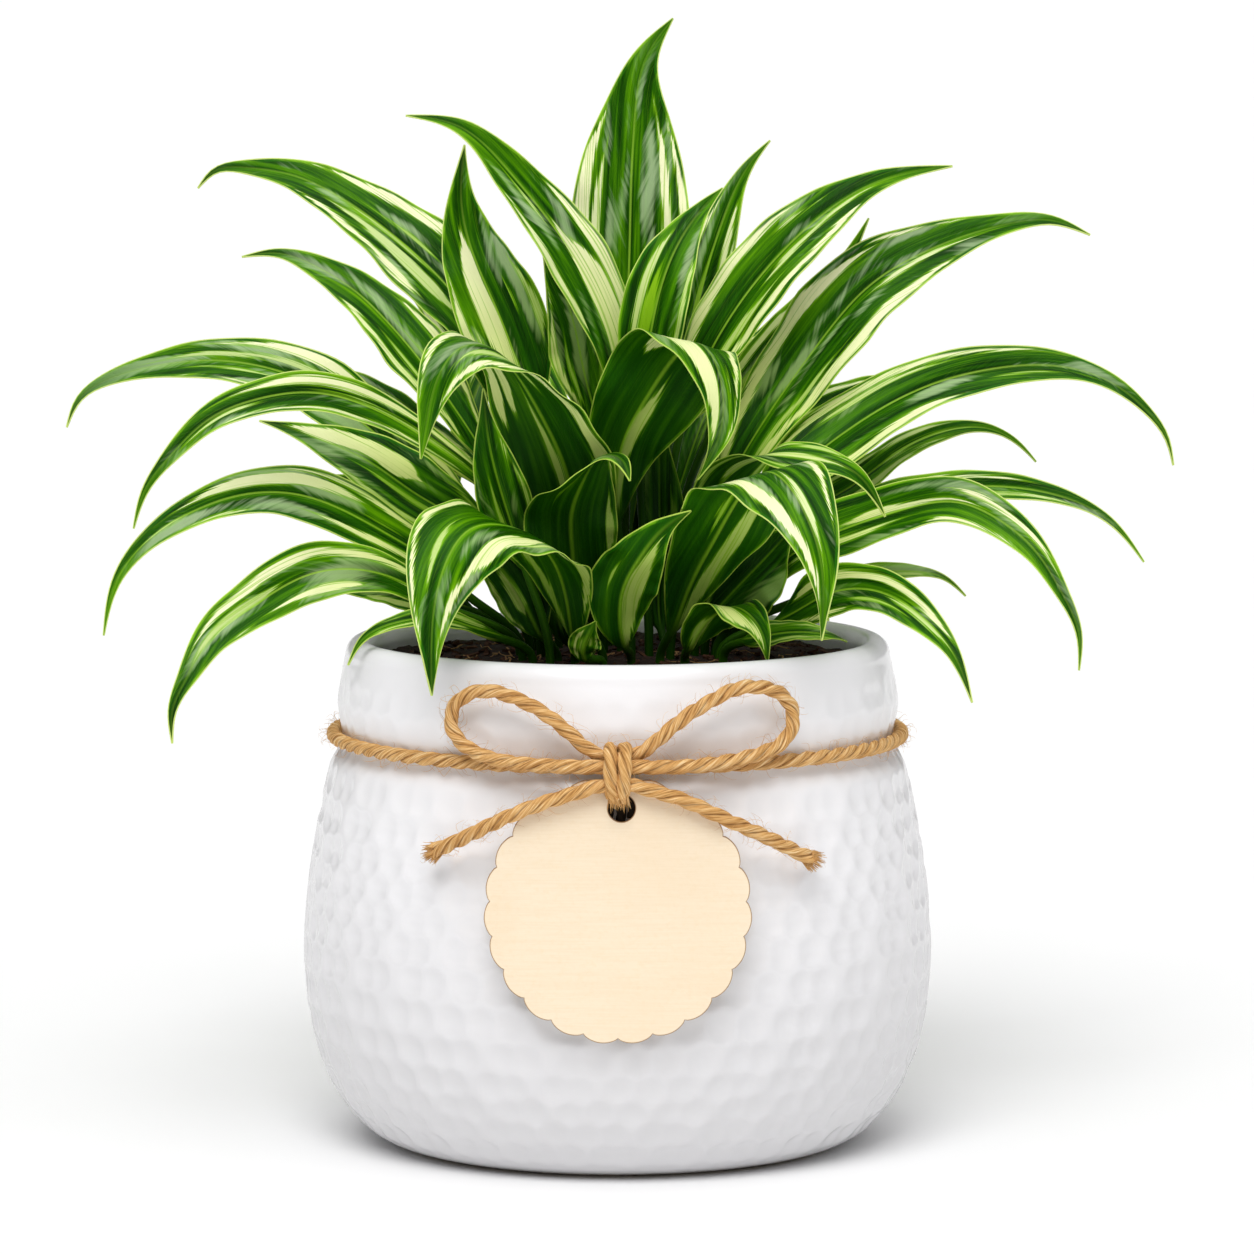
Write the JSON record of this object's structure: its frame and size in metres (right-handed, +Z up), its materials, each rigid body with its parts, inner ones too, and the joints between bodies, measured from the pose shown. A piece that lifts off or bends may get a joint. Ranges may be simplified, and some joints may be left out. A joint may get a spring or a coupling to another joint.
{
  "type": "potted peace lily",
  "caption": "Peace lily with arching, pointed, cream-striped leaves in a dimpled white pot tied with a jute bow and a blank round tag.",
  "frame": {"origin": "centre of the pot's foot, on the surface that the pot stands on", "axes": "+Z up along the pot's axis; -Y is the front, where the bow and the tag are; +X is to the right seen from the front"},
  "size_m": [0.3181, 0.2553, 0.3222],
  "materials": {
    "glaze": "gloss",
    "soil": "matte",
    "jute": "matte",
    "tag_wood": "matte",
    "leaf": "satin"
  },
  "bodies": {
    "root": {"pot": "glaze", "soil": "soil", "tag": "tag_wood", "twine_band": "jute", "twine_knot": "jute", "twine_loop_left": "jute", "twine_loop_right": "jute", "twine_tail_left": "jute", "twine_tail_right": "jute", "leaf_upper_left_1": "leaf", "leaf_upper_left_2": "leaf", "leaf_upper_left_3": "leaf", "leaf_top_1": "leaf", "leaf_top_2": "leaf", "leaf_top_3": "leaf", "leaf_top_4": "leaf", "leaf_top_5": "leaf", "leaf_upper_right_1": "leaf", "leaf_upper_right_2": "leaf", "leaf_upper_right_3": "leaf", "leaf_right_1": "leaf", "leaf_right_2": "leaf", "leaf_right_3": "leaf", "leaf_right_4": "leaf", "leaf_right_5": "leaf", "leaf_right_6": "leaf", "leaf_right_7": "leaf", "leaf_left_1": "leaf", "leaf_left_2": "leaf", "leaf_left_3": "leaf", "leaf_left_4": "leaf", "leaf_left_5": "leaf", "leaf_left_6": "leaf", "leaf_left_7": "leaf", "leaf_front_1": "leaf", "leaf_front_2": "leaf", "leaf_front_3": "leaf", "leaf_front_4": "leaf", "leaf_front_5": "leaf", "leaf_front_6": "leaf", "leaf_front_7": "leaf", "leaf_front_8": "leaf", "leaf_front_9": "leaf", "leaf_front_10": "leaf", "leaf_front_11": "leaf", "leaf_inner_1": "leaf", "leaf_inner_2": "leaf", "leaf_inner_3": "leaf", "leaf_back_1": "leaf", "leaf_back_2": "leaf", "leaf_back_3": "leaf", "leaf_back_4": "leaf", "leaf_back_5": "leaf", "leaf_back_6": "leaf", "leaf_back_right_1": "leaf", "leaf_back_right_2": "leaf", "leaf_back_right_3": "leaf", "leaf_back_left_1": "leaf", "leaf_back_left_2": "leaf", "leaf_back_left_3": "leaf"}
  },
  "joints": []
}
